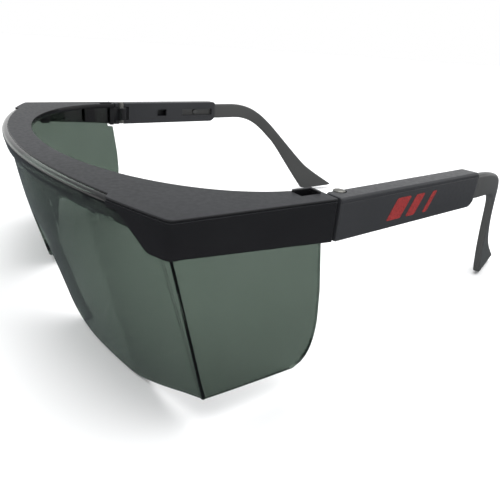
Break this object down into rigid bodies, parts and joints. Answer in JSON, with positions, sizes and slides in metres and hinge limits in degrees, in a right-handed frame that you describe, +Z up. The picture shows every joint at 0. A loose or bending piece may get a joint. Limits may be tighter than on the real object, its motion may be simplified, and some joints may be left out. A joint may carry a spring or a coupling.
{
  "type": "safety glasses",
  "caption": "Wraparound safety glasses with a one-piece tinted lens and side shields, a shelf brow frame, and folding temples with sliding ear hooks.",
  "frame": {"origin": "on the resting surface, under the middle of the whole object", "axes": "+Z up, -Y the way the wearer looks, +X towards the wearer's left"},
  "size_m": [0.1585, 0.1921, 0.0526],
  "materials": {
    "frame_plastic": "moulded black nylon, satin on the shelf and glossy on the outer faces",
    "lens_tint": "polished grey-green tinted polycarbonate, see-through",
    "pin_metal": "plain steel rivet, dull",
    "sleeve_plastic": "moulded black nylon with a fine satin grain and a small red printed mark",
    "slide_plastic": "glossy black nylon"
  },
  "bodies": {
    "front": {"brow_frame": "frame_plastic", "lens": "lens_tint"},
    "left_temple": {"left_temple_sleeve": "sleeve_plastic", "left_hinge_pin": "pin_metal"},
    "left_hook": {"left_ear_slide": "slide_plastic"},
    "right_temple": {"right_temple_sleeve": "sleeve_plastic", "right_hinge_pin": "pin_metal"},
    "right_hook": {"right_ear_slide": "slide_plastic"}
  },
  "joints": [
    {"name": "left_temple_fold", "type": "hinge", "parent": "front", "child": "left_temple", "pos_m": [0.0737, -0.037, 0.047], "axis": [0, 0, 1], "range_deg": [-6.5, 81]},
    {"name": "left_hook_slide", "type": "slide", "parent": "left_temple", "child": "left_hook", "axis": [-0.0732, 0.9973, 0], "range_m": [0, 0.012]},
    {"name": "right_temple_fold", "type": "hinge", "parent": "front", "child": "right_temple", "pos_m": [-0.0737, -0.037, 0.047], "axis": [0, 0, -1], "range_deg": [0, 80]},
    {"name": "right_hook_slide", "type": "slide", "parent": "right_temple", "child": "right_hook", "axis": [-0.0419, 0.9991, 0], "range_m": [-0.006, 0.006]}
  ]
}
